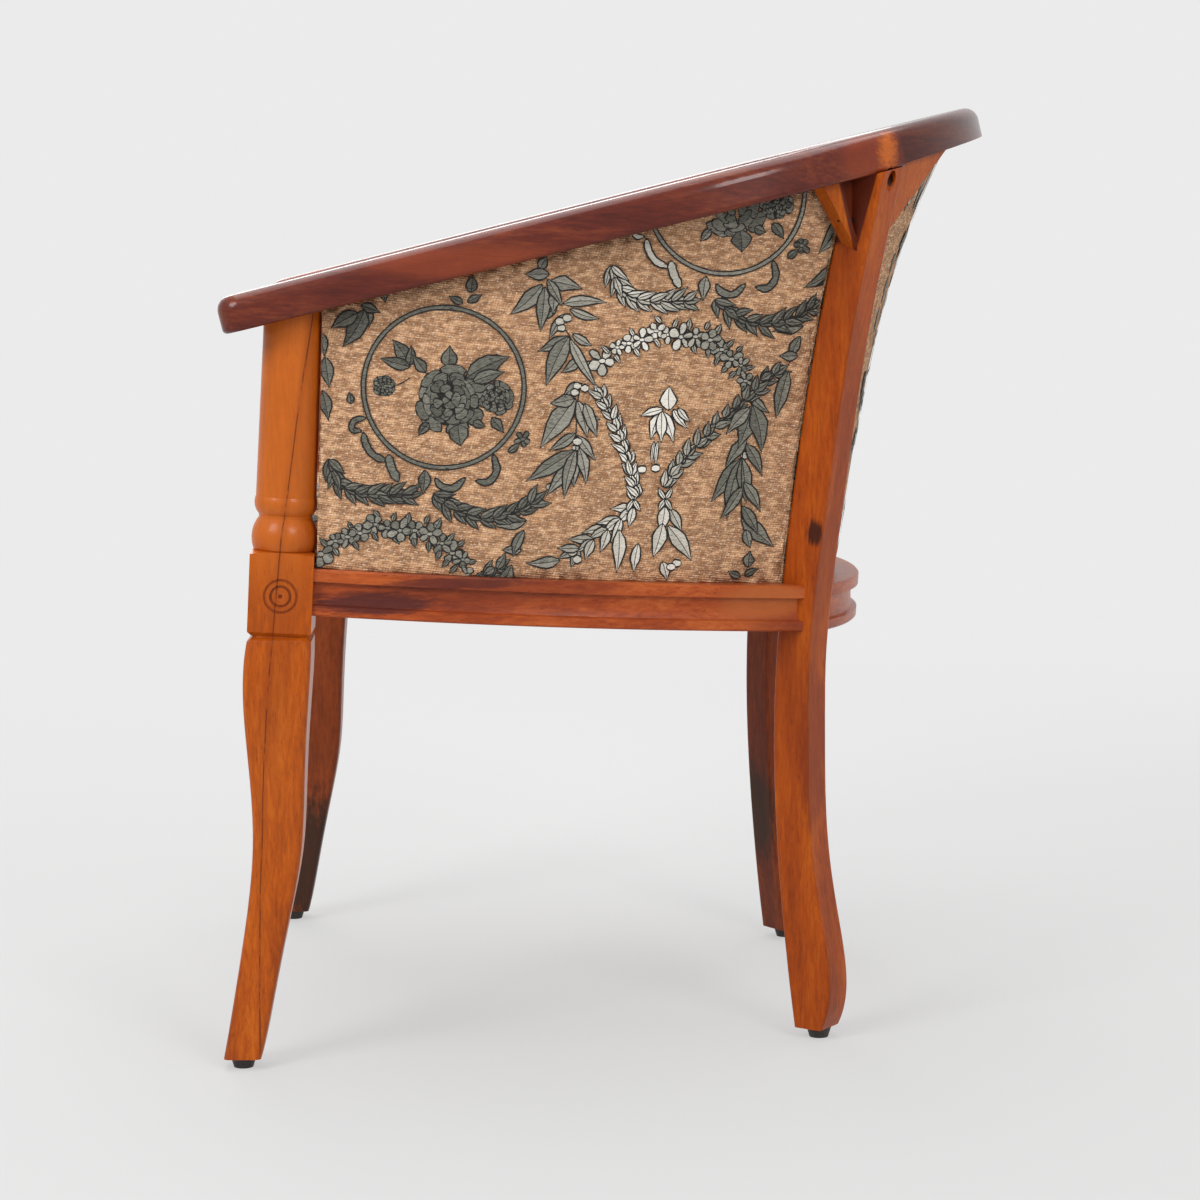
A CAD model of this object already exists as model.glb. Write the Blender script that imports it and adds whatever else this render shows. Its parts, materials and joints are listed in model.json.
import json
import math
import bmesh
import bpy
import numpy as np
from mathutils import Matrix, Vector
from mathutils.bvhtree import BVHTree

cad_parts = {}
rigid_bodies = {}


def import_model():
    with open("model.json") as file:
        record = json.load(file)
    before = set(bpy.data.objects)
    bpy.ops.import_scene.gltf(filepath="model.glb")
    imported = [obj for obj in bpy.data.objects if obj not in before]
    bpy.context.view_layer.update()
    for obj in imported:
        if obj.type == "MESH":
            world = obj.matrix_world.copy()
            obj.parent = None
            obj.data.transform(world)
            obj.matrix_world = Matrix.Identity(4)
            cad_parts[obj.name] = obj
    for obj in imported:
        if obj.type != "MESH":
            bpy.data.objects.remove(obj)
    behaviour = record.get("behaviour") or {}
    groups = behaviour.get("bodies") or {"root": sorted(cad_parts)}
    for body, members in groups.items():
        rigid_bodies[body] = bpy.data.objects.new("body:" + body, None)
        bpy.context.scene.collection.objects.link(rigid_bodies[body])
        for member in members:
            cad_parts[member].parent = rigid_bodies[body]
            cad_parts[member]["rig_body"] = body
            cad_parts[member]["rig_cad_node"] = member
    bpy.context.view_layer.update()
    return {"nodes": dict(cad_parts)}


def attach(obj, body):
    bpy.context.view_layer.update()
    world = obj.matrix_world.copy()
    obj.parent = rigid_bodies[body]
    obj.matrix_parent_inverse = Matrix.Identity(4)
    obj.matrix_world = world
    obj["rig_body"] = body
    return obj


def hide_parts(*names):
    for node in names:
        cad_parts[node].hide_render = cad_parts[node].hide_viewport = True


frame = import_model()
nodes = frame["nodes"]
scene = bpy.context.scene
print("frame loaded,", len(nodes), "nodes")


# shader maths

class Shade:  # one output socket, with operators that add Math nodes
    def __init__(self, paint, socket):
        self.paint = paint
        self.socket = socket

    def maths(self, operation, *others):
        return self.paint.make("ShaderNodeMath", {"operation": operation}, dict(enumerate((self,) + others)))

    def __add__(self, other):
        return self.maths("ADD", other)

    def __sub__(self, other):
        return self.maths("SUBTRACT", other)

    def __rsub__(self, other):
        return (self * -1) + other

    def __mul__(self, other):
        return self.maths("MULTIPLY", other)

    def __truediv__(self, other):
        return self.maths("DIVIDE", other)

    def __pow__(self, other):
        return self.maths("POWER", other)

    __radd__ = __add__
    __rmul__ = __mul__

    def step(self, low, high):  # smooth 0 to 1 between two values
        return self.paint.make("ShaderNodeMapRange", {"interpolation_type": "SMOOTHSTEP"},
                               {"Value": self, "From Min": low, "From Max": high})

    def abs(self):
        return self.maths("ABSOLUTE")

    def least(self, other):
        return self.maths("MINIMUM", other)

    def most(self, other):
        return self.maths("MAXIMUM", other)


class Paint:  # the node tree of a material, or of the world
    def __init__(self, name, owner=None):
        self.material = owner or bpy.data.materials.new(name)
        self.material.use_nodes = True
        self.tree = self.material.node_tree
        self.tree.nodes.clear()

    def make(self, kind, settings=None, sockets=None, out=0):
        item = self.tree.nodes.new(kind)
        for key, value in (settings or {}).items():
            if key == "stops":
                while len(item.color_ramp.elements) < len(value):
                    item.color_ramp.elements.new(1)
                for stop, (place, colour) in zip(item.color_ramp.elements, value):
                    stop.position = place
                    stop.color = (*colour, 1)
            else:
                setattr(item, key, value)
        for key, value in (sockets or {}).items():
            if isinstance(value, Shade):
                self.tree.links.new(value.socket, item.inputs[key])
            else:
                item.inputs[key].default_value = value
        return Shade(self, item.outputs[out]) if item.outputs else None

    def place(self, scale=(1, 1, 1), shift=(0, 0, 0), turn=(0, 0, 0)):  # object coordinates, stretched
        here = self.make("ShaderNodeTexCoord", out="Object")
        return self.make("ShaderNodeMapping", {}, {"Vector": here, "Scale": scale, "Location": shift,
                                                   "Rotation": [math.radians(angle) for angle in turn]})

    def stretch(self, where, scale, turn=0):  # a UV map, stretched
        return self.make("ShaderNodeMapping", {}, {"Vector": where, "Scale": (*scale, 1),
                                                   "Rotation": (0, 0, turn)})

    def noise(self, where, scale, detail=3, rough=0.5, out=0):
        return self.make("ShaderNodeTexNoise", {}, {"Vector": where, "Scale": scale, "Detail": detail,
                                                    "Roughness": rough}, out)

    def ramp(self, value, stops):
        return self.make("ShaderNodeValToRGB", {"stops": stops}, {"Fac": value})

    def mix(self, share, first, second):
        first = first if isinstance(first, Shade) else (*first, 1)
        second = second if isinstance(second, Shade) else (*second, 1)
        return self.make("ShaderNodeMix", {"data_type": "RGBA"}, {0: share, 6: first, 7: second}, 2)

    def bump(self, height, depth, strength=1):
        return self.make("ShaderNodeBump", {}, {"Height": height, "Distance": depth, "Strength": strength})

    def surface(self, sockets):
        shader = self.make("ShaderNodeBsdfPrincipled", {}, sockets)
        self.make("ShaderNodeOutputMaterial", {}, {"Surface": shader})
        return self.material


def rgb(red, green, blue):  # a colour as seen on screen, 0 to 255
    parts = [part / 255 for part in (red, green, blue)]
    return tuple(part / 12.92 if part < 0.0405 else ((part + 0.055) / 1.055) ** 2.4 for part in parts)


def grainField(paint, grain, shift, turn):  # coordinates that run along the grain
    if grain != "arc":
        return paint.place([1 if axis == grain else crossGrain for axis in "XYZ"], shift, turn)
    here = paint.make("ShaderNodeTexCoord", out="Object")
    x = paint.make("ShaderNodeSeparateXYZ", {}, {"Vector": here})
    y, z = (Shade(paint, x.socket.node.outputs[axis]) for axis in "YZ")
    y = y - horseshoe["centre"]
    radius = (x * x + y * y) ** 0.5
    along = x.maths("ARCTAN2", y) * horseshoe["radius"]
    return paint.make("ShaderNodeCombineXYZ", {}, {"X": along, "Y": radius * crossGrain + shift[1],
                                                   "Z": z * crossGrain + shift[2]})


crossGrain = 7  # how much finer the figure is across the grain
horseshoe = {"centre": 0.037, "radius": 0.27}  # of the top rail, in metres


def lacquer(name, finish, shift=(0, 0, 0), turn=(0, 0, 0)):  # stained and lacquered wood
    paint = Paint(name)
    where = grainField(paint, finish["grain"], shift, turn)
    drift = paint.noise(where, 5, 3, 0.5)
    lines = paint.noise(where, 48, 3, 0.65)
    pores = paint.noise(where, 130, 2, 0.5)
    heart = paint.noise(where, 3.1, 2, 0.5)
    dark, mid, light = finish["tones"]
    colour = paint.ramp(drift * 0.55 + lines * 0.45, [(0.34, dark), (0.5, mid), (0.66, light)])
    streaked = heart.step(0.56, 0.7) * finish["streakShare"]
    colour = paint.mix(streaked, colour, finish["streak"])
    colour = paint.mix(pores.step(0.58, 0.7) * 0.4, colour, [part * 0.45 for part in dark])
    for centre, reach, tint, strength in finish.get("marks", ()):
        colour = paint.mix(mark(paint, centre, reach, lines) * strength, colour, tint)
    if "stain" in finish:  # maroon stain on a rear leg's head, before a sloping line
        y, z = axes(paint)
        a, b, low = finish["stain"]
        stained = (z * b + a - y).step(0, 0.0015) * (z - low).step(0, 0.004)
        colour = paint.mix(stained * 0.9, colour, headStain)
    if "web" in finish:  # the brace's set-back web, beyond a sloping line
        y, z = axes(paint)
        a, b = finish["web"]
        colour = paint.mix((y - (z * b + a)).step(0, 0.0015) * 0.9, colour, headStain)
    if "rosette" in finish:  # stain gathered in the turned grooves
        y, z = axes(paint)
        b, c = finish["rosette"]
        radius = ((y - b) ** 2 + (z - c) ** 2) ** 0.5
        for groove, wide, deep in ((0.0079, 0.0013, 0.55), (0.0132, 0.0012, 0.3), (0.0009, 0.0012, 0.5)):
            ring = 1 - (radius - groove).abs().step(0.0002, wide)
            colour = paint.mix(ring * deep, colour, rgb(84, 30, 8))
    if "check" in finish:  # a fine drying crack, the line y = a + b z + c z z on the outer face
        y, z = axes(paint)
        a, b, c = finish["check"]
        off = (y - (z * b + z * z * c + a) + (drift - 0.5) * 0.006).abs()
        split = (1 - off.step(0.0002, 0.0009)) * lines.step(0.38, 0.52)
        colour = paint.mix((1 - off.step(0.001, 0.005)) * 0.25, colour, dark)
        colour = paint.mix(split * 0.75, colour, rgb(74, 26, 8))
    rough = drift * 0.1 + pores * 0.08 + finish["gloss"] - 0.06
    return paint.surface({"Base Color": colour, "Roughness": rough, "Specular IOR Level": 0.16,
                         "Coat Weight": finish["coat"], "Coat Roughness": 0.14,
                         "Normal": paint.bump(pores * 0.5 + lines * 0.3, 0.0003, 0.4)})


def axes(paint):
    x = paint.make("ShaderNodeSeparateXYZ", {}, {"Vector": paint.make("ShaderNodeTexCoord", out="Object")})
    return (Shade(paint, x.socket.node.outputs[axis]) for axis in "YZ")


def mark(paint, centre, reach, ragged):  # 1 at a place in the wood, 0 beyond its reach
    here = paint.make("ShaderNodeTexCoord", out="Object")
    scaled = paint.make("ShaderNodeMapping", {}, {
        "Vector": here, "Scale": [1 / part for part in reach],
        "Location": [-place / part for place, part in zip(centre, reach)]})
    far = paint.make("ShaderNodeVectorMath", {"operation": "LENGTH"}, {0: scaled}, "Value")
    return 1 - (far + (ragged - 0.5) * 0.9).step(0.55, 1.05)


amber = {"grain": "Z", "tones": (rgb(138, 58, 8), rgb(170, 78, 8), rgb(190, 98, 20)),
         "streak": rgb(134, 54, 8), "streakShare": 0.45, "gloss": 0.32, "coat": 0.12}
russet = dict(amber, tones=(rgb(128, 51, 6), rgb(160, 68, 6), rgb(180, 88, 14)),
              streak=rgb(114, 40, 6), coat=0.05)
umber = dict(amber, tones=(rgb(88, 36, 14), rgb(120, 50, 18), rgb(146, 68, 24)),
             streak=rgb(74, 30, 20), coat=0.05)
railRed = dict(amber, tones=(rgb(126, 50, 22), rgb(162, 72, 30), rgb(186, 96, 44)), streak=rgb(96, 38, 26))
maroon = dict(amber, tones=(rgb(70, 22, 14), rgb(92, 33, 20), rgb(120, 54, 28)), streak=rgb(58, 20, 18),
              gloss=0.24, coat=0.3)
knot = rgb(44, 14, 8)
headStain = rgb(74, 24, 16)
plum = rgb(64, 28, 30)


def makeWoods():
    frontLeft = dict(amber, check=(-0.2943, -0.0228, 0.1614), rosette=(-0.2752, 0.3902), marks=[
        ((0.298, -0.282, 0.53), (0.09, 0.06, 0.16), rgb(208, 112, 38), 0.45)])
    frontRight = dict(amber, tones=(rgb(110, 48, 16), rgb(138, 62, 24), rgb(158, 76, 32)), marks=[
        ((-0.25, -0.285, 0.05), (0.04, 0.07, 0.095), rgb(48, 35, 25), 0.88)])
    legHead = (0.0295, 0.2492, 0.672)  # the stain ends at the line y = a + b z, above the third value
    rearLeft = dict(russet, stain=legHead, marks=[
        ((0.22, 0.165, 0.434), (0.06, 0.008, 0.014), knot, 0.9),
        ((0.22, 0.169, 0.25), (0.08, 0.02, 0.09), rgb(112, 40, 12), 0.5),
        ((0.228, 0.2232, 0.7259), (0.03, 0.0034, 0.0062), knot, 1.0)])
    rearRight = dict(umber, stain=legHead, marks=[
        ((-0.185, 0.15, 0.13), (0.034, 0.03, 0.06), rgb(52, 40, 26), 0.7)])
    sides = dict(railRed, grain="Y", marks=[
        ((0.285, -0.2, 0.384), (0.08, 0.06, 0.011), plum, 0.8),
        ((0.285, -0.13, 0.40), (0.08, 0.07, 0.006), plum, 0.6),
        ((0.24, 0.125, 0.377), (0.1, 0.05, 0.02), rgb(176, 96, 46), 0.7)])
    arms = dict(maroon, grain="Y", marks=[
        ((0.298, -0.12, 0.66), (0.08, 0.1, 0.016), rgb(142, 62, 30), 0.5),
        ((0.25, 0.205, 0.745), (0.05, 0.028, 0.03), rgb(132, 52, 22), 0.6),
        ((0.25, 0.222, 0.752), (0.04, 0.0135, 0.026), rgb(188, 94, 26), 0.95)])
    crest = dict(maroon, grain="arc", tones=(rgb(54, 15, 9), rgb(72, 23, 13), rgb(96, 40, 20)))
    return {
        "front_leg_left": lacquer("frontLegLeftLacquer", frontLeft, (0.31, 0.12, 0)),
        "front_leg_right": lacquer("frontLegRightLacquer", frontRight, (0.71, 0.32, 0.4)),
        "rear_leg_left": lacquer("rearLegLeftLacquer", rearLeft, (0.7, 0.4, 0.3)),
        "rear_leg_right": lacquer("rearLegRightLacquer", rearRight, (0.1, 0.8, 0.6)),
        "side_seat_rail": lacquer("sideRailLacquer", sides, (0.2, 0.6, 0.1)),
        "front_seat_rail": lacquer("frontRailLacquer", dict(railRed, grain="X"), (0.5, 0.1, 0.2)),
        "back_seat_rail": lacquer("backRailLacquer", dict(railRed, grain="arc"), (0.1, 0.2, 0.7)),
        "arm_rail": lacquer("armLacquer", arms, (0.4, 0.3, 0.2), (-13.7, 0, 0)),
        "crest_rail": lacquer("crestLacquer", crest, (0.9, 0.1, 0.3)),
        "head_brace": lacquer("braceLacquer", dict(amber, web=(0.3588, -0.249)), (0.2, 0.9, 0.5)),
        "head_gusset": lacquer("gussetLacquer", amber, (0.8, 0.3, 0.6)),
    }


def bareWood(name, grain, pale, dark):  # unfinished boards, blocks and dowels
    paint = Paint(name)
    where = paint.place([1 if axis == grain else 10 for axis in "XYZ"])
    drift = paint.noise(where, 6, 4, 0.6)
    pores = paint.noise(where, 60, 2, 0.6)
    colour = paint.ramp(drift * 0.7 + pores * 0.3, [(0.3, dark), (0.6, pale)])
    return paint.surface({"Base Color": colour, "Roughness": pores * 0.2 + 0.6,
                         "Normal": paint.bump(pores, 0.0004, 0.5)})


def metalFinish(name, dull, bright, rough):
    paint = Paint(name)
    scuff = paint.noise(paint.place((1, 1, 1)), 900, 2, 0.6)
    return paint.surface({"Base Color": paint.ramp(scuff, [(0.3, dull), (0.7, bright)]),
                         "Metallic": 1.0, "Roughness": scuff * 0.2 + rough})


def glideFinish():
    paint = Paint("glidePlastic")
    scuff = paint.noise(paint.place((1, 1, 1)), 260, 3, 0.6)
    return paint.surface({"Base Color": paint.ramp(scuff, [(0.35, rgb(30, 26, 22)), (0.7, rgb(58, 50, 44))]),
                         "Roughness": scuff * 0.25 + 0.45, "Normal": paint.bump(scuff, 0.0003, 0.4)})


chenilleSettings = {"weft": 0.0019, "warp": 0.0023}  # thread pitch in metres


def weaveFinish():  # the tan chenille ground, on the weave UV map in metres
    paint = Paint("chenilleGround")
    flat = paint.make("ShaderNodeUVMap", {"uv_map": "weave"})
    parts = paint.make("ShaderNodeSeparateXYZ", {}, {"Vector": flat})
    up = Shade(paint, parts.socket.node.outputs["Y"])
    weft = (((up + parts * 0.12) * (2 * math.pi / chenilleSettings["weft"])).maths("SINE") + 1) / 2
    warp = (((parts - up * 0.3) * (2 * math.pi / chenilleSettings["warp"])).maths("SINE") + 1) / 2
    thread = weft * 0.55 + warp * 0.45
    slub = paint.noise(paint.stretch(flat, (150, 420)), 1, 3, 0.6)
    fleck = paint.noise(paint.stretch(flat, (105, 230)), 1, 2, 0.5)
    cloud = paint.noise(paint.stretch(flat, (28, 45)), 1, 2, 0.5)
    grit = paint.noise(paint.stretch(flat, (700, 900)), 1, 1, 0.5)
    colour = paint.ramp(slub * 0.5 + grit * 0.3 + cloud * 0.2, [
        (0.34, rgb(170, 122, 84)), (0.46, rgb(212, 164, 122)),
        (0.56, rgb(228, 183, 142)), (0.72, rgb(246, 212, 176))])
    colour = paint.mix((fleck + cloud * 0.5 + grit * 0.2).step(0.68, 0.96) * 0.7, colour, rgb(124, 82, 52))
    speck = paint.noise(paint.stretch(flat, (330, 760)), 1, 2, 0.6)
    colour = paint.mix(speck.step(0.53, 0.7) * 0.75, colour, rgb(246, 224, 200))
    colour = paint.mix((1 - speck).step(0.56, 0.72) * 0.4, colour, rgb(120, 80, 52))
    colour = paint.mix((1 - thread).step(0.4, 0.9) * 0.4, colour, rgb(116, 76, 48))
    return paint.surface({"Base Color": colour, "Roughness": 0.9 - thread * 0.08, "Specular IOR Level": 0.25,
                         "Sheen Weight": 0.15, "Sheen Roughness": 0.5, "Sheen Tint": (*rgb(230, 190, 150), 1),
                         "Normal": paint.bump(thread * 0.7 + slub * 0.6 + grit * 0.3, 0.001, 0.8)})


def floatFinish():  # the grey and silver floats of the pattern, dark at their edges
    paint = Paint("patternFloats")
    flat = paint.make("ShaderNodeUVMap", {"uv_map": "weave"})
    tone = paint.make("ShaderNodeAttribute", {"attribute_name": "tone"}, out="Fac")
    fleck = paint.noise(paint.stretch(flat, (260, 620)), 1, 2, 0.55)
    parts = paint.make("ShaderNodeSeparateXYZ", {}, {"Vector": flat})
    up = Shade(paint, parts.socket.node.outputs["Y"])
    rib = (((up + parts * 0.35) * (2 * math.pi / 0.0013)).maths("SINE") + 1) / 2
    inside = tone.step(0.02, 0.1)
    hatch = paint.noise(paint.stretch(flat, (170, 760), 0.7), 1, 2, 0.6).step(0.56, 0.68)
    shade = tone + ((fleck - 0.5) * 0.4 + (rib - 0.5) * 0.12 - hatch * 0.24) * inside
    colour = paint.ramp(shade, [(0.0, rgb(18, 15, 12)), (0.1, rgb(56, 55, 48)), (0.33, rgb(108, 107, 96)),
                                (0.66, rgb(178, 173, 160)), (0.95, rgb(234, 229, 218))])
    return paint.surface({"Base Color": colour, "Roughness": 0.62 - rib * 0.08, "Specular IOR Level": 0.35,
                         "Normal": paint.bump(rib * 0.7 + fleck * 0.4, 0.0005, 0.6)})


woods = makeWoods()
chenille = weaveFinish()
floatThread = floatFinish()
steel = metalFinish("screwSteel", rgb(120, 118, 114), rgb(176, 174, 170), 0.3)
darkIron = metalFinish("darkIron", rgb(40, 34, 30), rgb(66, 58, 52), 0.5)
glideBlack = glideFinish()
beech = bareWood("bareBeech", "Y", rgb(204, 160, 112), rgb(166, 118, 76))
ply = bareWood("barePly", "X", rgb(206, 168, 120), rgb(172, 130, 88))


def finishFor(name):
    for key, material in woods.items():
        if name.startswith(key):
            return material
    if "screws" in name or "nails" in name:
        return darkIron if name.startswith(("brace", "head")) else steel
    if name.startswith("glide"):
        return glideBlack
    return ply if name.startswith(("seat_board", "side_panel", "back_panel")) else beech


for name, item in nodes.items():
    item.data.materials.clear()
    item.data.materials.append(finishFor(name))
print("wood, steel and plastic finished")


# upholstery

def pick(item):
    if bpy.context.object and bpy.context.object.mode != "OBJECT":
        bpy.ops.object.mode_set(mode="OBJECT")
    bpy.ops.object.select_all(action="DESELECT")
    item.hide_viewport = False
    item.select_set(True)
    bpy.context.view_layer.objects.active = item


def softCopy(node, name):  # a merged copy of a soft CAD solid, to be shaped
    pick(nodes[node])
    bpy.ops.object.duplicate()
    piece = bpy.context.object
    piece.name = name
    piece.data.name = name
    bpy.ops.object.parent_clear(type="CLEAR_KEEP_TRANSFORM")
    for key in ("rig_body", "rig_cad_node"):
        del piece[key]
    piece.data.materials.clear()
    piece.data.materials.append(chenille)
    bpy.ops.object.mode_set(mode="EDIT")
    bpy.ops.mesh.select_all(action="SELECT")
    bpy.ops.mesh.remove_doubles(threshold=0.00002)
    bpy.ops.object.mode_set(mode="OBJECT")
    return piece


def points(piece):
    flat = np.empty(len(piece.data.vertices) * 3)
    piece.data.vertices.foreach_get("co", flat)
    return flat.reshape(-1, 3)


def movePoints(piece, places):
    piece.data.vertices.foreach_set("co", places.ravel())
    piece.data.update()


def cutAcross(piece, axis, pitch):  # even cuts across a piece, so that it can bend
    low, high = points(piece).min(0), points(piece).max(0)
    normal = [1 if index == axis else 0 for index in range(3)]
    pick(piece)
    bpy.ops.object.mode_set(mode="EDIT")
    for step in range(1, int((high[axis] - low[axis]) / pitch)):
        place = [0, 0, 0]
        place[axis] = low[axis] + step * pitch
        bpy.ops.mesh.select_all(action="SELECT")
        bpy.ops.mesh.bisect(plane_co=place, plane_no=normal)
    bpy.ops.object.mode_set(mode="OBJECT")


def applied(piece, kind, **settings):
    pick(piece)
    made = piece.modifiers.new(kind.lower(), kind)
    for key, value in settings.items():
        setattr(made, key, value)
    bpy.ops.object.modifier_apply(modifier=made.name)


def plump(piece, pressure, cap):  # a short cloth run that swells the pad, no further than the cap
    start = points(piece)
    pick(piece)
    cloth = piece.modifiers.new("cloth", "CLOTH")
    cloth.settings.use_pressure = True
    cloth.settings.uniform_pressure_force = pressure
    cloth.settings.effector_weights.gravity = 0
    cloth.settings.quality = 5
    cloth.point_cache.frame_end = 20
    for step in range(1, 21):
        scene.frame_set(step)
    bpy.ops.object.modifier_apply(modifier=cloth.name)
    scene.frame_set(1)
    moved = points(piece) - start
    reach = np.linalg.norm(moved, axis=1, keepdims=True)
    movePoints(piece, start + moved * np.minimum(1, cap / np.maximum(reach, 1e-9)))


def weaveMap(piece, layout):  # UV in metres, from the piece's own flat layout
    flat = layout(points(piece))
    uv = piece.data.uv_layers.new(name="weave")
    corner = np.empty(len(piece.data.loops), int)
    piece.data.loops.foreach_get("vertex_index", corner)
    uv.data.foreach_set("uv", flat[corner].ravel())


def smooth(piece):
    pick(piece)
    bpy.ops.object.shade_smooth_by_angle(angle=math.radians(40))


def fitted(piece, node=None):  # hand the finished piece over to the frame
    smooth(piece)
    if node:
        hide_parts(node)
    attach(piece, "root")


def sideLayout(places):
    return places[:, [1, 2]]


def backLayout(places):
    return places[:, [0, 2]]


def seatLayout(places):  # the height is added, so that the cloth runs on down the front
    return np.stack([places[:, 0], places[:, 1] + places[:, 2]], 1)


coverSettings = {"pitch": 0.009, "fill": 0.3}
padSettings = {"voxel": 0.006, "pressure": 3, "cap": 0.005, "fill": 0.7}
seatSettings = {"voxel": 0.006, "pressure": 4, "cap": 0.007, "fill": 0.7}


def makeCover(node, name, layout, ways):
    piece = softCopy(node, name)
    for axis in ways:
        cutAcross(piece, axis, coverSettings["pitch"])
    weaveMap(piece, layout)
    return piece


def makePad(node, name, layout, settings):
    piece = softCopy(node, name)
    applied(piece, "REMESH", mode="VOXEL", voxel_size=settings["voxel"])
    plump(piece, settings["pressure"], settings["cap"])
    applied(piece, "SUBSURF", levels=1, render_levels=1)
    weaveMap(piece, layout)
    return piece


# the woven pattern, drawn in threads as on point paper and laid on the cloth

jacquard = {
    "thread": 0.000403,  # metres
    "outline": 3.4,  # threads, the dark edge of a leaf
    "vein": 0.8,
    "lift": 0.00032,  # metres, how far the floats stand above the ground
    "layer": 0.00007,  # each later leaf lies over the one before
    "layers": 14,
    "nextColumn": (568, 387),  # the half drop
    "nextRow": (0, 960),
    "columns": range(-3, 4),
    "rows": range(-2, 3),
    "wreathToArch": (-125, -440),
    "brightWidth": 118,  # threads, the silver band down the cloth
    "seed": 7,
    "leastPart": 15,  # points of a leaf that must lie on the cloth
}


class Stamp:  # a small grid, modelled once and bent into every leaf, petal and ribbon
    def __init__(self, columns, rows):
        bpy.ops.object.select_all(action="DESELECT")
        bpy.ops.mesh.primitive_grid_add(x_subdivisions=columns, y_subdivisions=rows, size=1)
        sheet = bpy.context.object
        grid = points(sheet)
        self.across = np.rint((grid[:, 0] + 0.5) * columns).astype(int)
        self.along = np.rint((grid[:, 1] + 0.5) * rows).astype(int)
        self.faces = np.array([face.vertices[:] for face in sheet.data.polygons])
        self.faceColumn = self.across[self.faces].min(1)
        self.faceRow = self.along[self.faces].min(1)
        self.columns, self.rows = columns, rows
        bpy.data.meshes.remove(sheet.data)


leafStamp, petalStamp = Stamp(5, 7), Stamp(3, 6)
ribbonStamp, ringStamp, stemStamp = Stamp(3, 14), Stamp(3, 72), Stamp(1, 12)


def leafShape(t):
    return np.sin(np.pi * t ** 0.75) ** 1.05


def petalShape(t):
    return np.sin(np.pi * t ** 1.25) ** 0.5


def fanShape(t):
    return np.sin(np.pi * t ** 1.7) ** 0.55


def roundShape(t):
    return np.sqrt(np.maximum(0, 1 - (2 * t - 1) ** 2))


def ribbonShape(t):
    return np.minimum(1, 5 * np.minimum(t, 1 - t)) ** 0.5


def evenShape(t):
    return np.ones_like(t)


def curveThrough(path, places):  # a smooth line through hand-set points
    path = np.array(path, float)
    reach = np.concatenate([[0], np.cumsum(np.linalg.norm(np.diff(path, axis=0), axis=1))])
    ends = np.vstack([2 * path[0] - path[1], path, 2 * path[-1] - path[-2]])
    spots = []
    for place in np.asarray(places) * reach[-1]:
        step = min(np.searchsorted(reach, place, "right") - 1, len(path) - 2)
        t = (place - reach[step]) / (reach[step + 1] - reach[step])
        a, b, c, d = ends[step:step + 4]
        spots.append(0.5 * (2 * b + (c - a) * t + (2 * a - 5 * b + 4 * c - d) * t ** 2
                            + (3 * b - a - 3 * c + d) * t ** 3))
    return np.array(spots)


roseRings = ((0.5, 9, 0.5, 0.7), (0.4, 9, 0.4, 0.56), (0.28, 8, 0.34, 0.48), (0.16, 6, 0.3, 0.4),
             (0.02, 5, 0.26, 0.32))  # how far out, petals, their length and width, as shares of the rose


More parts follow.
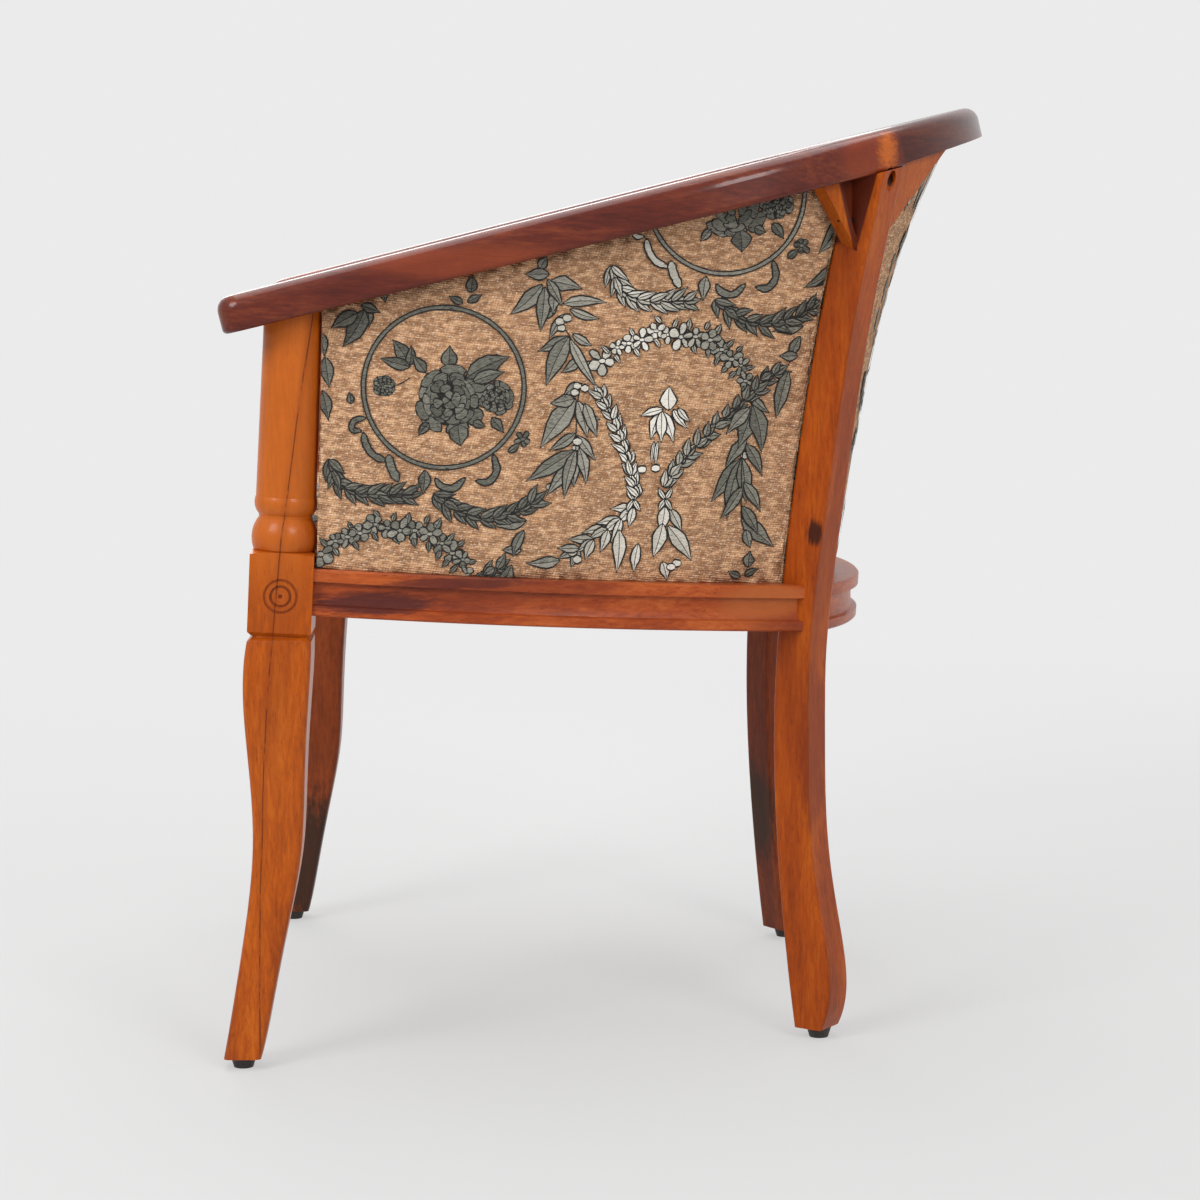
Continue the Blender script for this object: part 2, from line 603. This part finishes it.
class Weaving:  # gathers the leaves of one panel, in threads
    def __init__(self, low, high, bright):
        self.low, self.high, self.bright = np.array(low), np.array(high), bright
        self.random = np.random.default_rng(jacquard["seed"])
        self.origin = np.zeros(2)
        self.flat, self.lift, self.faces, self.tones, self.owner = [], [], [], [], []
        self.count, self.turn = 0, 0

    def lay(self, stamp, line, length, half, shape, tone):  # line gives the points along the middle
        t = np.linspace(0, 1, stamp.rows + 1)
        if shape is not evenShape:
            tip = min(0.1, jacquard["outline"] / length)
            t = np.concatenate([[0], np.linspace(tip, 1 - tip, stamp.rows - 1), [1]])
        spine = line(t) + self.origin
        middle = spine.mean(0)
        if (middle < self.low - 60).any() or (middle > self.high + 60).any():
            return
        tone = self.silver(middle[0], tone) if tone else 0
        tangent = np.gradient(spine, axis=0)
        tangent /= np.maximum(np.linalg.norm(tangent, axis=1, keepdims=True), 1e-9)
        normal = np.stack([-tangent[:, 1], tangent[:, 0]], 1)
        width = np.maximum(half * shape(t), 0.9) * self.random.uniform(0.9, 1.1, len(t))
        edge = 1 - np.minimum(jacquard["outline"] / width, 0.5)
        vein = np.minimum(jacquard["vein"] / width, 0.22)
        one = np.ones_like(width)
        sides = {5: [-one, -edge, -vein, vein, edge, one], 3: [-one, -edge, edge, one],
                 1: [-one, one]}[stamp.columns]
        offset = np.stack(sides, 1) * width[:, None]
        reach = offset[stamp.along, stamp.across]
        self.flat.append(spine[stamp.along] + normal[stamp.along] * reach[:, None])
        inner = (stamp.across > 0) & (stamp.across < stamp.columns)
        self.turn = (self.turn + 1) % jacquard["layers"]
        self.lift.append(jacquard["lift"] + self.turn * jacquard["layer"] + inner * 0.00004)
        dark = {5: (0, 2, 4), 3: (0, 2), 1: (0,)}[stamp.columns]
        shade = np.where(np.isin(stamp.faceColumn, dark), 0, tone + 0.07 * (stamp.faceColumn == 3))
        ends = (stamp.faceRow == 0) | (stamp.faceRow == stamp.rows - 1)
        self.tones.append(np.where(ends & (shape is not evenShape), 0, shade))  # dark tips
        self.faces.append(stamp.faces + self.count)
        self.owner.append(np.full(len(stamp.across), len(self.owner)))
        self.count += len(stamp.across)

    def silver(self, place, tone):  # the grey weft is brightest down the middle of the cloth
        glow = math.exp(-((place - self.bright) / jacquard["brightWidth"]) ** 2)
        return min(1, max(0.12, tone + 0.5 * glow + self.random.uniform(-0.05, 0.05)))

    def leaf(self, x0, y0, x1, y1, width, tone=0.3):
        base, tip = np.array((x0, y0), float), np.array((x1, y1), float)
        side = np.array((base[1] - tip[1], tip[0] - base[0])) * self.random.uniform(-0.24, 0.24)
        self.lay(leafStamp, lambda t: base + np.outer(t, tip - base) + np.outer(t * (1 - t), side),
                 np.linalg.norm(tip - base), width / 2, leafShape, tone)

    def petal(self, x, y, angle, length, width, tone, shape=petalShape):
        way = np.array((math.cos(angle), math.sin(angle))) * length
        self.lay(petalStamp, lambda t: np.array((x, y)) + np.outer(t, way), length, width / 2, shape, tone)

    def berry(self, x, y, radius):
        self.petal(x - radius, y, 0, 2 * radius, 2 * radius, 0.62, roundShape)

    def flower(self, x, y, radius, tone=0.4):
        start = self.random.uniform(0, 1.2)
        for step in range(5):
            angle = start + step * 2 * math.pi / 5
            self.petal(x + 0.15 * radius * math.cos(angle), y + 0.15 * radius * math.sin(angle),
                       angle + self.random.uniform(-0.25, 0.25), self.random.uniform(0.75, 1.15) * radius,
                       self.random.uniform(0.7, 1.05) * radius, tone + self.random.uniform(-0.08, 0.06))
        self.petal(x - 0.28 * radius, y, 0, 0.56 * radius, 0.56 * radius, tone + 0.1, roundShape)

    def rose(self, x, y, radius, tone=0.26):
        self.turn = 0  # a dark ground between the petals, then rings that each lie over the last
        self.petal(x - 0.8 * radius, y, 0, 1.6 * radius, 1.4 * radius, 0, roundShape)
        for level, (share, petals, length, width) in enumerate(roseRings):
            start = self.random.uniform(0, 1.5)
            for step in range(petals):
                angle = start + (step + self.random.uniform(-0.25, 0.25)) * 2 * math.pi / petals
                self.turn = 2 * level + 1 + step % 2
                self.petal(x + share * radius * math.cos(angle), y + 0.85 * share * radius * math.sin(angle),
                           angle, length * radius * self.random.uniform(0.75, 1.15),
                           width * radius * self.random.uniform(0.8, 1.1),
                           tone + self.random.uniform(-0.06, 0.09), fanShape)

    def ribbon(self, path, width, tone=0.28):
        self.lay(ribbonStamp, lambda t: curveThrough(path, t), 60, width / 2, ribbonShape, tone)

    def stem(self, path):
        self.lay(stemStamp, lambda t: curveThrough(path, t), 60, 1.2, evenShape, 0)

    def ring(self, radius, width):
        self.lay(ringStamp, lambda t: radius * np.stack([np.cos(2 * np.pi * t), np.sin(2 * np.pi * t)], 1),
                 radius, width / 2, evenShape, 0.34)

    def chain(self, path, pairs, length, width, tone=0.3, spread=0.55):  # leaves in pairs along a line
        self.stem(path)
        line = curveThrough(path, np.linspace(0, 1, pairs + 1))
        for here, there in zip(line[:-1], line[1:]):
            heading = math.atan2(*(there - here)[::-1])
            for side in (-1, 0, 1):
                angle = heading + side * spread + self.random.uniform(-0.14, 0.14)
                way = np.array((math.cos(angle), math.sin(angle)))
                tip = here + length * self.random.uniform(0.85, 1.1) * way
                self.leaf(*here, *tip, width, tone)


wreath = {  # places in threads from the ring's centre, x across and y up
    "ring": (161, 11),
    "stem": [(-95, 5), (-80, 12), (-67, 20)],
    "leaves": [(45, 19, 133, 62, 46), (58, 12, 123, 32, 30), (11, 39, 13, 85, 34), (-67, 42, -102, 97, 34),
               (-67, 42, -127, 59, 30), (-69, 45, -65, 85, 24), (28, -73, 33, -118, 44),
               (58, -68, 83, -78, 22),
               (-39, -165, -45, -215, 26), (128, -131, 152, -112, 18), (-187, -33, -190, -8, 18),
               (48, 172, 78, 186, 18), (40, 170, 12, 184, 18), (56, 190, 60, 225, 26),
               (-157, 157, -202, 82, 42),
               (-170, 150, -225, 120, 34), (-150, 165, -148, 120, 24), (-238, 62, -230, 0, 30),
               (-244, -5, -232, -66, 28), (-250, 110, -238, 62, 30), (-165, 165, -125, 150, 22),
               (60, 20, 108, 68, 26),
               (95, -60, 120, -92, 24), (-35, 30, -62, 66, 24), (-30, -70, -52, -96, 22)],
    "roses": [(13, -25, 76), (103, -21, 38), (-120, 4, 25)],
    "ribbons": [([(-155, -60), (-180, -66), (-184, -84), (-164, -86)], 14),
                ([(-162, -88), (-157, -113), (-142, -135), (-115, -148)], 17),
                ([(-112, -133), (-107, -158), (-92, -190)], 20),
                ([(-19, -181), (-7, -198), (18, -203), (43, -181)], 17),
                ([(98, -133), (105, -168), (88, -191), (61, -188)], 17)],
    "star": (158, -105, 17),
    "swags": [[(-232, -143), (-212, -193), (-157, -215), (-62, -215)],
              [(-22, -213), (23, -248), (88, -265), (148, -251), (193, -223)]],
}

arch = {  # places in threads from the middle of the arch
    "flowers": [(-125, 105, 26), (-95, 132, 16), (-70, 140, 21), (-45, 147, 20), (-15, 165, 20),
                (10, 157, 18),
                (35, 152, 24), (65, 152, 20), (95, 145, 22), (120, 125, 20), (140, 105, 22), (160, 92, 18),
                (170, 60, 18)],
    "tips": [(50, 165, 55, 190, 16), (105, 155, 118, 178, 18), (-5, 180, -20, 195, 14),
             (85, 165, 95, 185, 14),
             (150, 120, 165, 132, 14), (-60, 155, -70, 172, 12), (165, 50, 180, 25, 20),
             (20, 170, 28, 190, 14),
             (-110, 120, -128, 138, 14), (-100, 118, -88, 100, 14), (-60, 130, -48, 112, 14),
             (-20, 150, -8, 130, 14),
             (20, 145, 34, 124, 14), (60, 138, 66, 116, 14), (92, 130, 92, 106, 14),
             (115, 112, 106, 90, 14),
             (132, 92, 118, 76, 14), (150, 80, 134, 64, 14), (130, 130, 146, 146, 14),
             (170, 85, 190, 88, 14)],
    "leftChain": [(-50, -175), (-60, -150), (-70, -105), (-85, -60), (-110, 0), (-135, 50)],
    "rightChain": [(0, -155), (30, -115), (80, -60), (140, -5), (200, 50), (250, 85)],
    "knots": [(-60, -180), (5, -180)],
    "bud": [(12, 2, 12, 53, 37), (0, 5, -47, -8, 22), (20, 5, 50, -35, 22), (30, 8, 55, -22, 18),
            (-5, 0, -25, -58, 27), (0, 0, 22, -65, 27), (-3, 2, -4, -64, 27), (-10, -60, -14, -112, 12),
            (-18, -60, -23, -108, 10)],
    "berries": [(-43, -118, 10), (-15, -116, 10), (-210, 185, 10), (-195, 192, 10), (-207, 172, 9),
                (-175, 55, 9),
                (-160, 50, 9), (-180, 42, 9), (-175, -58, 10), (-178, -71, 8), (-230, -150, 9),
                (178, 30, 9),
                (170, -95, 9), (-185, -285, 10), (-175, -300, 10), (30, -315, 10), (18, -322, 10)],
    "stems": [[(-205, 175), (-190, 155), (-150, 70), (-130, 50)], [(-170, 50), (-176, 0), (-178, -75)],
              [(185, 20), (178, -40), (165, -100), (165, -225)]],
    "leftGarland": [(-245, 260, -310, 200, 37), (-240, 255, -250, 165, 32), (-230, 265, -165, 250, 32),
                    (-230, 280, -280, 280, 27), (-220, 250, -225, 200, 25), (-250, 290, -235, 315, 22),
                    (-205, 220, -115, 222, 25), (-190, 210, -130, 190, 22), (-190, 155, -255, 125, 30),
                    (-192, 155, -238, 55, 42), (-185, 160, -145, 135, 22), (-190, 150, -135, 50, 25),
                    (-178, 30, -250, -70, 45), (-180, 30, -230, 20, 30), (-175, 25, -155, -50, 32),
                    (-160, 20, -135, -50, 27), (-180, -75, -280, -138, 35), (-178, -75, -202, -175, 30),
                    (-172, -70, -158, -145, 27), (-235, 270, -205, 215, 24), (-215, 215, -252, 186, 22),
                    (-200, 200, -232, 150, 22), (-165, 100, -120, 92, 18), (-170, 110, -208, 82, 24),
                    (-165, 60, -205, 32, 24), (-178, 0, -222, -24, 26), (-172, 0, -128, -14, 22),
                    (-178, -40, -232, -75, 26), (-175, -45, -138, -98, 24), (-180, -95, -238, -168, 28),
                    (-178, -95, -182, -152, 24)],
    "rightGarland": [(185, 10, 155, -80, 40), (185, 10, 205, -90, 40), (180, 5, 130, -50, 30),
                     (165, -100, 100, -190, 37), (165, -100, 135, -230, 32), (165, -100, 175, -195, 35),
                     (165, -225, 235, -290, 37), (175, -250, 185, -290, 25), (290, 170, 225, 160, 32),
                     (280, 110, 240, 110, 25), (260, 80, 235, -20, 35), (225, 75, 200, 60, 20),
                     (175, -60, 130, -120, 28), (172, -70, 208, -140, 28), (168, -150, 205, -215, 26),
                     (165, -160, 120, -225, 26), (165, -200, 200, -262, 28), (180, 30, 222, -8, 24),
                     (285, 150, 262, 95, 24)],
    "spray": [(-60, -195), (-100, -230), (-150, -265), (-200, -295)],
    "sprayLeaves": [(-210, -300, -280, -305, 27), (-90, -240, -95, -330, 30), (-50, -270, -60, -330, 25),
                    (5, -195, -5, -250, 30), (0, -230, -20, -300, 34), (10, -235, 60, -310, 34),
                    (0, -310, 10, -350, 26), (15, -200, 40, -250, 24)],
}


def weaveWreath(cloth):
    cloth.ring(*wreath["ring"])
    cloth.stem(wreath["stem"])
    for leaf in wreath["leaves"]:
        cloth.leaf(*leaf, 0.22)
    for rose in wreath["roses"]:
        cloth.rose(*rose)
    for path, width in wreath["ribbons"]:
        cloth.ribbon(path, width)
    cloth.flower(*wreath["star"], 0.24)
    for path in wreath["swags"]:
        cloth.chain(path, 9, 44, 19, 0.24)


def weaveArch(cloth):
    for leaf in arch["leftGarland"] + arch["rightGarland"]:
        cloth.leaf(*leaf)
    for path in arch["stems"]:
        cloth.stem(path)
    cloth.chain(arch["leftChain"], 10, 35, 18, 0.42)
    cloth.chain(arch["rightChain"], 13, 37, 20, 0.28)
    for x, y in arch["knots"]:
        for turn in (60, 120, 240, 300):
            way = math.radians(turn)
            cloth.leaf(x, y, x + 28 * math.cos(way), y + 28 * math.sin(way), 15, 0.4)
    cloth.chain(arch["spray"], 5, 50, 23, 0.36)
    for leaf in arch["tips"] + arch["sprayLeaves"]:
        cloth.leaf(*leaf, 0.34)
    for flower in arch["flowers"]:
        cloth.flower(*flower)
    for leaf in arch["bud"]:
        cloth.leaf(*leaf, 0.55)
    for berry in arch["berries"]:
        cloth.berry(*berry)


def embroider(piece, cast, start, low, high, bright=0):  # start: where a ring's centre falls, in metres
    thread = jacquard["thread"]
    cloth = Weaving(np.array(low) / thread, np.array(high) / thread, bright / thread)
    for column in jacquard["columns"]:
        for row in jacquard["rows"]:
            origin = (np.array(start) / thread + column * np.array(jacquard["nextColumn"])
                      + row * np.array(jacquard["nextRow"]))
            cloth.origin = origin
            weaveWreath(cloth)
            cloth.origin = origin + jacquard["wreathToArch"]
            weaveArch(cloth)
    flat, lift = np.vstack(cloth.flat) * thread, np.concatenate(cloth.lift)
    faces, tones = np.vstack(cloth.faces), np.concatenate(cloth.tones)
    tree = BVHTree.FromObject(piece, bpy.context.evaluated_depsgraph_get())
    places, landed = np.zeros((len(flat), 3)), np.zeros(len(flat), bool)

    def land(spot, height):
        begin, way = cast(*spot)
        hit, normal, _, _ = tree.ray_cast(Vector(begin), Vector(way))
        return hit + normal * height if hit and normal.dot(Vector(way)) < -0.45 else None

    for index, (spot, height) in enumerate(zip(flat, lift)):
        place = land(spot, height)
        if place:
            places[index], landed[index] = place, True
    owner = np.concatenate(cloth.owner)
    landed &= np.bincount(owner, landed)[owner] >= jacquard["leastPart"]  # no scraps of a leaf at the edge
    stays = landed[faces].any(1)
    trimmed = set()
    for face in faces[stays & ~landed[faces].all(1)]:  # a leaf that runs off the cloth is cut at its edge
        inner = face[landed[face]][0]
        for corner in face[~landed[face]]:
            if corner in trimmed:
                continue
            trimmed.add(corner)
            inside, outside, places[corner] = flat[inner].copy(), flat[corner].copy(), places[inner]
            for _ in range(5):
                middle = (inside + outside) / 2
                place = land(middle, lift[corner])
                if place:
                    inside, places[corner] = middle, place
                else:
                    outside = middle
            flat[corner] = inside
    used, fresh = np.unique(faces[stays], return_inverse=True)
    mesh = bpy.data.meshes.new(piece.name + "Pattern")
    mesh.from_pydata(places[used].tolist(), [], fresh.reshape(-1, 4).tolist())
    uv = mesh.uv_layers.new(name="weave")
    uv.data.foreach_set("uv", flat[used][fresh.ravel()].ravel())
    mesh.attributes.new("tone", "FLOAT", "FACE").data.foreach_set("value", tones[stays])
    mesh.materials.append(floatThread)
    piece.data.attributes.new("tone", "FLOAT", "FACE")
    pattern = bpy.data.objects.new(mesh.name, mesh)
    scene.collection.objects.link(pattern)
    faceOut(pattern, piece)
    pick(piece)
    pattern.select_set(True)
    bpy.ops.object.join()


def faceOut(pattern, piece):  # leaves wound the other way round are turned to face out of the cloth
    tree = BVHTree.FromObject(piece, bpy.context.evaluated_depsgraph_get())
    turned = [face.index for face in pattern.data.polygons
              if tree.find_nearest(face.center)[1].dot(face.normal) < 0]
    shape = bmesh.new()
    shape.from_mesh(pattern.data)
    shape.faces.ensure_lookup_table()
    bmesh.ops.reverse_faces(shape, faces=[shape.faces[index] for index in turned])
    shape.to_mesh(pattern.data)
    shape.free()


tub = {"backRound": (0.0, -0.10), "backRadius": 0.40}  # where the back's rays meet, and their reach


def ontoSide(side):  # from outside, or from inside the tub with side turned
    return lambda a, b: ((side * 0.7, side * a, b), (-side, 0, 0))


def ontoInside(side):
    return lambda a, b: ((0, -side * a, b), (side, 0, 0))


def ontoBack(a, b):
    angle = -a / tub["backRadius"]
    way = Vector((math.sin(angle), math.cos(angle), 0))
    begin = Vector((*tub["backRound"], b)) + way * 0.9
    return begin, -way


def ontoInsideBack(a, b):
    angle = a / tub["backRadius"]
    return (*tub["backRound"], b), (math.sin(angle), math.cos(angle), 0)


def ontoSeat(a, b):
    return (a, b, 0.9), (0, 0, -1)


def dress(node, piece, settings, *pattern, **more):
    embroider(piece, *pattern, **more)
    fitted(piece, node)


weltSettings = {"heights": np.linspace(0.405, 0.725, 17), "sweep": np.radians(np.linspace(20, 56, 145)),
                "radius": (0.004, 0.008), "cover": 0.0022, "sink": 0.0005, "fill": 0.9}


def padEdge(tree, side, height, angles):  # the first angle at which a pad is met, and how far off
    start = Vector((*tub["backRound"], height))
    for angle in angles:
        way = Vector((side * math.sin(angle), math.cos(angle), 0))
        far = tree.ray_cast(start, way)[3]
        if far:
            return angle, far
    return None


def makeWelt(side, sidePad, backPad, name):  # a sewn roll that closes the corner between two pads
    trees = [BVHTree.FromObject(piece, bpy.context.evaluated_depsgraph_get()) for piece in (sidePad, backPad)]
    path, (radius, most) = [], weltSettings["radius"]
    for height in weltSettings["heights"]:
        edges = [padEdge(trees[0], side, height, weltSettings["sweep"]),
                 padEdge(trees[1], side, height, weltSettings["sweep"][::-1])]
        if None in edges:
            continue
        angle = sum(edge[0] for edge in edges) / 2
        far = max(edge[1] for edge in edges) - weltSettings["sink"]
        gap = abs(edges[0][0] - edges[1][0]) * far / 2
        radius = max(radius, min(most, gap + weltSettings["cover"]))
        path.append((side * math.sin(angle) * far, tub["backRound"][1] + math.cos(angle) * far, height))
    path.append(tuple(2 * last - before for last, before in zip(path[-1], path[-2])))  # up under the rail
    line = bpy.data.curves.new(name, "CURVE")
    line.dimensions = "3D"
    line.bevel_depth = radius
    line.bevel_resolution = 4
    line.use_fill_caps = True
    spline = line.splines.new("NURBS")
    spline.points.add(len(path) - 1)
    for point, place in zip(spline.points, path):
        point.co = (*place, 1)
    spline.use_endpoint_u = True
    spline.order_u = 4
    welt = bpy.data.objects.new(name, line)
    scene.collection.objects.link(welt)
    pick(welt)
    bpy.ops.object.convert(target="MESH")
    welt.data.name = name
    welt.data.materials.append(chenille)
    weaveMap(welt, sideLayout)
    fitted(welt)
    print("welt", name, "radius", round(radius, 4), "points", len(path))


wrapSettings = {"thickness": 0.0008, "fill": 0.2}


def makeSeatWrap():  # the cloth that wraps the seat board's edge
    wrap = softCopy("seat_board", "seatWrap")
    pick(wrap)
    bpy.ops.object.mode_set(mode="EDIT")
    bpy.ops.mesh.select_all(action="SELECT")
    bpy.ops.transform.shrink_fatten(value=wrapSettings["thickness"])
    bpy.ops.object.mode_set(mode="OBJECT")
    weaveMap(wrap, seatLayout)
    fitted(wrap)


insidePads = {}
for side, name in ((1, "left"), (-1, "right")):
    node = "outside_cover_" + name
    piece = makeCover(node, "sideCloth" + name.title(), sideLayout, (1, 2))
    start = (-0.142, 0.559) if side > 0 else (-0.02, 0.559)
    dress(node, piece, coverSettings, ontoSide(side), start, (-0.25, 0.39), (0.25, 0.74), bright=0.018 * side)
    node = "inside_pad_" + name
    piece = makePad(node, "insidePad" + name.title(), sideLayout, padSettings)
    dress(node, piece, padSettings, ontoInside(side), (0.03, 0.58), (-0.27, 0.39), (0.27, 0.75))
    insidePads[side] = piece
backPiece = makeCover("outside_back_cover", "backCloth", backLayout, (0, 2))
dress("outside_back_cover", backPiece, coverSettings, ontoBack, (0.0, 0.62), (-0.42, 0.39), (0.42, 0.79))
backPad = makePad("inside_back_pad", "insidePadBack", backLayout, padSettings)
dress("inside_back_pad", backPad, padSettings, ontoInsideBack, (0.0, 0.64), (-0.42, 0.42), (0.42, 0.79))
for side, name in ((1, "Left"), (-1, "Right")):
    makeWelt(side, insidePads[side], backPad, "cornerWelt" + name)
makeSeatWrap()
seatPad = makePad("seat_cushion", "seatPad", seatLayout, seatSettings)
dress("seat_cushion", seatPad, seatSettings, ontoSeat, (0.0, 0.05), (-0.29, -0.31), (0.29, 0.29))
print("upholstery made")


# floor, light and camera

studio = {"floorTone": rgb(225, 225, 225), "backTone": rgb(235, 235, 235), "reach": 24.0,
          "mattTone": rgb(204, 204, 204), "shadowRing": (0.9, 2.4), "ownLight": 0.6,
          "worldLight": 0.42}


def studioFinish():  # pale paper that keeps the chair's shadow near the chair
    paint = Paint("paperSweep")
    seen = paint.make("ShaderNodeLightPath")
    glossy = Shade(paint, seen.socket.node.outputs["Is Glossy Ray"])
    glassy = Shade(paint, seen.socket.node.outputs["Is Transmission Ray"])
    here = paint.make("ShaderNodeTexCoord", out="Object")
    ahead = paint.make("ShaderNodeSeparateXYZ", {}, {"Vector": here})
    far = paint.make("ShaderNodeVectorMath", {"operation": "LENGTH"}, {0: here}, "Value")
    tone = paint.mix(ahead.step(-1.6, 1.0), studio["backTone"], studio["floorTone"])
    matt = paint.make("ShaderNodeBsdfDiffuse", {}, {"Color": (*studio["mattTone"], 1)})
    lit = paint.make("ShaderNodeEmission", {}, {"Color": tone, "Strength": 1.0})
    share = far.step(*studio["shadowRing"]) * (1 - studio["ownLight"]) + studio["ownLight"]
    shown = (seen + glossy + glassy).least(1)
    both = paint.make("ShaderNodeMixShader", {}, {0: shown * share, 1: matt, 2: lit})
    paint.make("ShaderNodeOutputMaterial", {}, {"Surface": both})
    return paint.material


def makeSweep():
    bpy.ops.object.select_all(action="DESELECT")
    bpy.ops.mesh.primitive_plane_add(size=2 * studio["reach"], location=(0, 0, 0))
    sweep = bpy.context.object
    sweep.name = "paperSweep"
    bpy.ops.object.transform_apply(location=True, rotation=True, scale=True)
    bpy.ops.object.mode_set(mode="EDIT")
    bpy.ops.mesh.select_all(action="DESELECT")
    bpy.ops.object.mode_set(mode="OBJECT")
    for edge in sweep.data.edges:  # the far edge turns up into a wall
        edge.select = all(sweep.data.vertices[index].co.x < 0 for index in edge.vertices)
    bpy.ops.object.mode_set(mode="EDIT")
    bpy.ops.mesh.extrude_region_move(TRANSFORM_OT_translate={"value": (0, 0, studio["reach"])})
    bpy.ops.object.mode_set(mode="OBJECT")
    for edge in sweep.data.edges:
        first, second = (sweep.data.vertices[index].co for index in edge.vertices)
        edge.select = first.x < 0 and second.x < 0 and first.z == 0 and second.z == 0
    bpy.ops.object.mode_set(mode="EDIT")
    bpy.ops.mesh.bevel(offset=studio["reach"] / 3, segments=16, affect="EDGES")
    bpy.ops.object.mode_set(mode="OBJECT")
    bpy.ops.object.shade_smooth()
    sweep.data.materials.append(studioFinish())


def addLamp(name, place, aim, size, power):
    lamp = bpy.data.lights.new(name, "AREA")
    lamp.shape = "SQUARE"
    lamp.size = size
    lamp.energy = power
    item = bpy.data.objects.new(name, lamp)
    scene.collection.objects.link(item)
    item.location = place
    item.rotation_euler = (Vector(aim) - Vector(place)).to_track_quat("-Z", "Y").to_euler()


cameraSettings = {"place": (2.9251, -0.0661, 0.7098), "pitchDown": 6.965, "turnBack": 1.09, "lens": 98.28}


def makeCamera():
    camera = bpy.data.cameras.new("photoCamera")
    camera.lens = cameraSettings["lens"]
    camera.sensor_width = 36
    item = bpy.data.objects.new("photoCamera", camera)
    scene.collection.objects.link(item)
    item.location = cameraSettings["place"]
    item.rotation_euler = [math.radians(angle) for angle in (
        90 - cameraSettings["pitchDown"], 0, 90 - cameraSettings["turnBack"])]
    scene.camera = item


def makeWorld():  # soft white light that looks like the paper where it is seen
    scene.world = bpy.data.worlds.new("studioWorld")
    paint = Paint("studioWorld", scene.world)
    seen = paint.make("ShaderNodeLightPath")
    glossy = Shade(paint, seen.socket.node.outputs["Is Glossy Ray"])
    glassy = Shade(paint, seen.socket.node.outputs["Is Transmission Ray"])
    dim = [studio["worldLight"]] * 3
    colour = paint.mix((seen + glossy + glassy).least(1), dim, studio["backTone"])
    sky = paint.make("ShaderNodeBackground", {}, {"Color": colour, "Strength": 1.0})
    paint.make("ShaderNodeOutputWorld", {}, {"Surface": sky})


makeSweep()
makeCamera()
addLamp("frontWindow", (2.2, -2.1, 2.2), (0, 0, 0.45), 1.3, 55)
addLamp("rearWindow", (2.9, 1.5, 2.0), (0, 0, 0.45), 1.1, 42)
addLamp("topLamp", (-0.3, 0.0, 3.0), (0, 0, 0.4), 2.6, 62)
addLamp("farFill", (-2.6, -0.6, 1.9), (0, 0, 0.45), 1.6, 30)
makeWorld()
scene.view_settings.view_transform = "Standard"
print("studio set")
